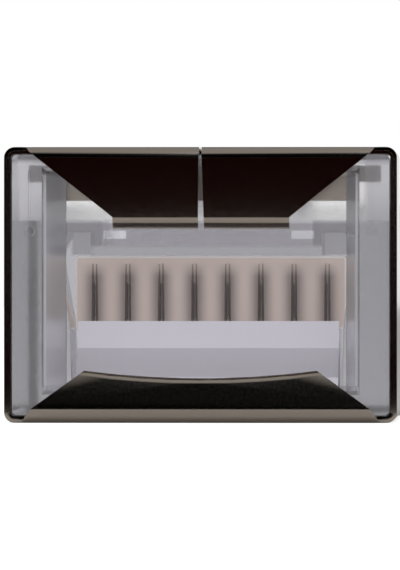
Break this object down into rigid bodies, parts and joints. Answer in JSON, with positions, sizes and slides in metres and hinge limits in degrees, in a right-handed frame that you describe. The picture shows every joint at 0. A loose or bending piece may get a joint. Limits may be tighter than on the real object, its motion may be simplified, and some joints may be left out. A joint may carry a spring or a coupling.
{
  "type": "modular plug",
  "caption": "Shielded modular plug with a clear body, folded metal shield, spring latch and blade contacts, not yet crimped.",
  "frame": {"origin": "bottom centre of the bounding box, on the contact side", "axes": "+Y the way the plug goes into its jack, +Z the latch side, X the width"},
  "size_m": [0.0116, 0.0215, 0.0082],
  "materials": {
    "clear_plastic": "clear, gloss, faint grey lavender",
    "plated_sheet": "bright nickel plating on folded sheet",
    "gold_plating": "gold plating over a copper alloy"
  },
  "bodies": {
    "body": {"housing": "clear_plastic", "shield_shell": "plated_sheet"},
    "latch": {"latch": "clear_plastic"},
    "cable_relief": {"jacket_strain_relief": "clear_plastic"},
    "conductor_relief": {"conductor_strain_relief": "clear_plastic"},
    "contact_1": {"contact_1": "gold_plating"},
    "contact_2": {"contact_2": "gold_plating"},
    "contact_3": {"contact_3": "gold_plating"},
    "contact_4": {"contact_4": "gold_plating"},
    "contact_5": {"contact_5": "gold_plating"},
    "contact_6": {"contact_6": "gold_plating"},
    "contact_7": {"contact_7": "gold_plating"},
    "contact_8": {"contact_8": "gold_plating"}
  },
  "joints": [
    {"name": "latch_hinge", "type": "hinge", "parent": "body", "child": "latch", "pos_m": [0, 0.00985, 0.006], "axis": [-1, 0, 0], "range_deg": [-5, 9], "stiffness_Nm_per_rad": 0.03, "springref_deg": 9},
    {"name": "cable_relief_hinge", "type": "hinge", "parent": "body", "child": "cable_relief", "pos_m": [0, -0.00105, 0.0006], "axis": [-1, 0, 0], "range_deg": [0, 22]},
    {"name": "conductor_relief_hinge", "type": "hinge", "parent": "body", "child": "conductor_relief", "pos_m": [0, 0.00352, 0.00042], "axis": [-1, 0, 0], "range_deg": [0, 12]},
    {"name": "contact_1_press", "type": "slide", "parent": "body", "child": "contact_1", "axis": [0, 0, 1], "range_m": [0, 0.0005]},
    {"name": "contact_2_press", "type": "slide", "parent": "body", "child": "contact_2", "axis": [0, 0, 1], "range_m": [0, 0.0005]},
    {"name": "contact_3_press", "type": "slide", "parent": "body", "child": "contact_3", "axis": [0, 0, 1], "range_m": [0, 0.0005]},
    {"name": "contact_4_press", "type": "slide", "parent": "body", "child": "contact_4", "axis": [0, 0, 1], "range_m": [0, 0.0005]},
    {"name": "contact_5_press", "type": "slide", "parent": "body", "child": "contact_5", "axis": [0, 0, 1], "range_m": [0, 0.0005]},
    {"name": "contact_6_press", "type": "slide", "parent": "body", "child": "contact_6", "axis": [0, 0, 1], "range_m": [0, 0.0005]},
    {"name": "contact_7_press", "type": "slide", "parent": "body", "child": "contact_7", "axis": [0, 0, 1], "range_m": [0, 0.0005]},
    {"name": "contact_8_press", "type": "slide", "parent": "body", "child": "contact_8", "axis": [0, 0, 1], "range_m": [0, 0.0005]}
  ]
}
